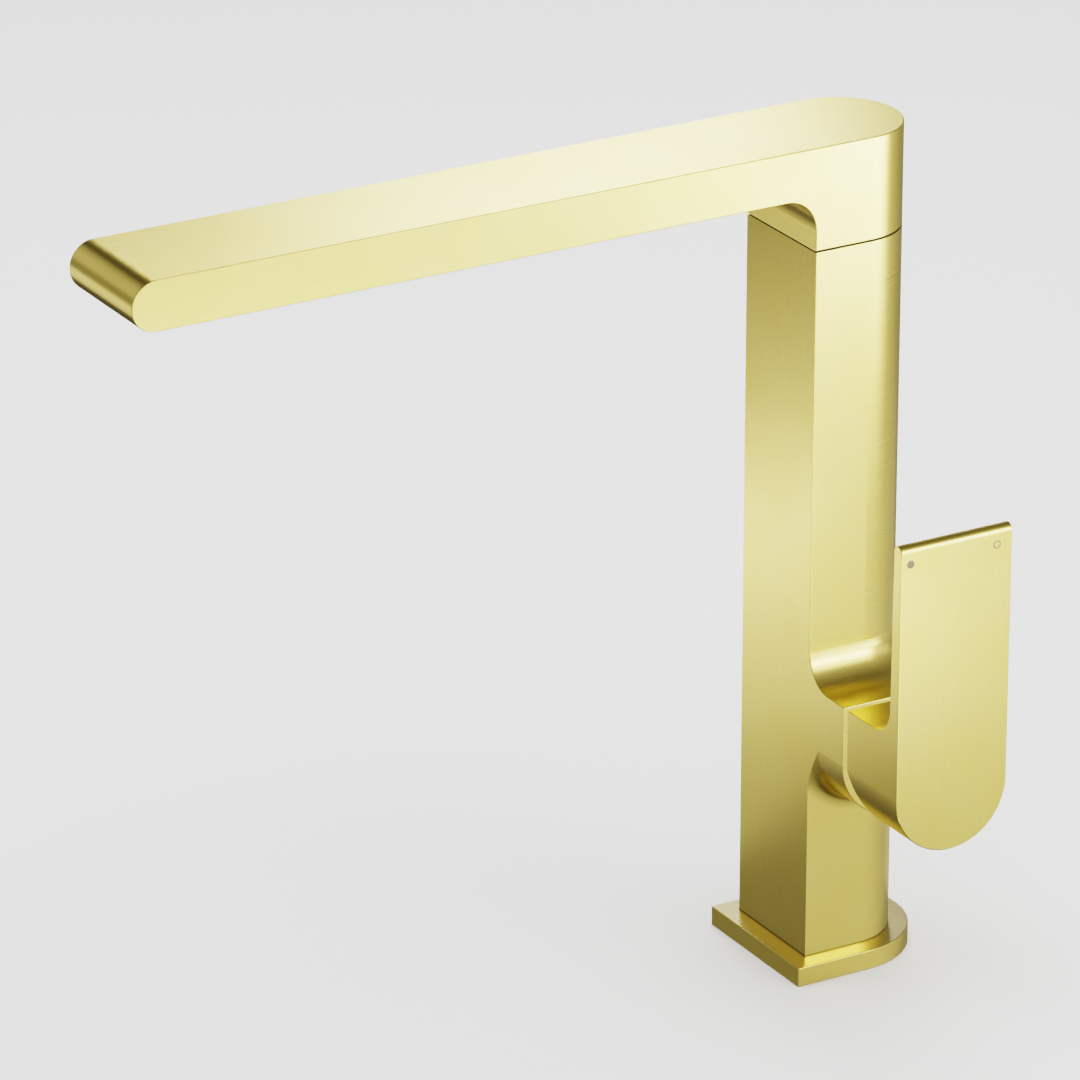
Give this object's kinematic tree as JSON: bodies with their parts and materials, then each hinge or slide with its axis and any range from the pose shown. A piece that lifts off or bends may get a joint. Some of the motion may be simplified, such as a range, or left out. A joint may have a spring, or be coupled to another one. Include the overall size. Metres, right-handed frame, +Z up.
{
  "type": "mixer faucet",
  "caption": "Deck-mounted single-lever mixer faucet: D-section column, side lever on a short branch, long flat swivel spout with an aerator under its tip.",
  "frame": {"origin": "underside of the base plate on the axis of the column and the swivel", "axes": "+Z up along the column, -Y towards the spout's tip, +X towards the lever"},
  "size_m": [0.107, 0.306, 0.3045],
  "materials": {
    "brushed_gold": "fine brushed, gold coating",
    "raw_brass": "turned brass",
    "copper_tube": "drawn copper",
    "stainless": "machined stainless steel",
    "black_rubber": "matt rubber",
    "black_nylon": "glass-filled nylon",
    "white_plastic": "acetal",
    "ceramic": "lapped alumina ceramic",
    "dark_enamel": "dark filled engraving"
  },
  "bodies": {
    "mixer_body": {"base_plate": "brushed_gold", "base_gasket": "black_rubber", "column_shell": "brushed_gold", "inlet_block": "raw_brass", "inlet_block_screws": "stainless", "hot_inlet_tube": "copper_tube", "cold_inlet_tube": "copper_tube", "valve_body": "raw_brass", "riser_tube": "copper_tube", "swivel_socket": "raw_brass", "swivel_glide_ring": "black_nylon", "spout_retaining_screw": "stainless", "cartridge_housing": "white_plastic", "cartridge_base": "white_plastic", "port_seals": "black_rubber", "fixed_ceramic_disc": "ceramic", "cartridge_nut": "raw_brass", "cartridge_cover_ring": "brushed_gold"},
    "spout": {"spout_shell": "brushed_gold", "hub_insert": "raw_brass", "hub_insert_screws": "stainless", "spout_spigot": "raw_brass", "spigot_o_rings": "black_rubber", "waterway_tube": "copper_tube", "outlet_block": "raw_brass", "aerator_sleeve": "brushed_gold", "aerator_insert": "white_plastic", "aerator_screen": "stainless", "aerator_seal": "black_rubber"},
    "temperature_rotor": {"cartridge_rotor": "raw_brass", "stem_pivot_pin": "stainless"},
    "mixing_disc": {"moving_ceramic_disc": "ceramic", "disc_carrier": "white_plastic"},
    "lever": {"cartridge_stem": "raw_brass", "handle_lever": "brushed_gold", "handle_grub_screw": "stainless", "handle_plug": "brushed_gold", "temperature_marks": "dark_enamel"}
  },
  "joints": [
    {"name": "spout_swivel", "type": "hinge", "parent": "mixer_body", "child": "spout", "pos_m": [0, 0, 0.2675], "axis": [0, 0, 1], "continuous": true},
    {"name": "temperature_turn", "type": "hinge", "parent": "mixer_body", "child": "temperature_rotor", "pos_m": [0.033, 0, 0.088], "axis": [1, 0, 0], "range_deg": [-45, 45]},
    {"name": "flow_tilt", "type": "hinge", "parent": "temperature_rotor", "child": "lever", "pos_m": [0.033, 0, 0.088], "axis": [0, 1, 0], "range_deg": [0, 25]},
    {"name": "disc_slide", "type": "slide", "parent": "temperature_rotor", "child": "mixing_disc", "axis": [0, 0, 1], "range_m": [0, 0.0035]}
  ],
  "couplings": [
    {"joint": "disc_slide", "follows": "flow_tilt", "m_per_rad": 0.008}
  ]
}
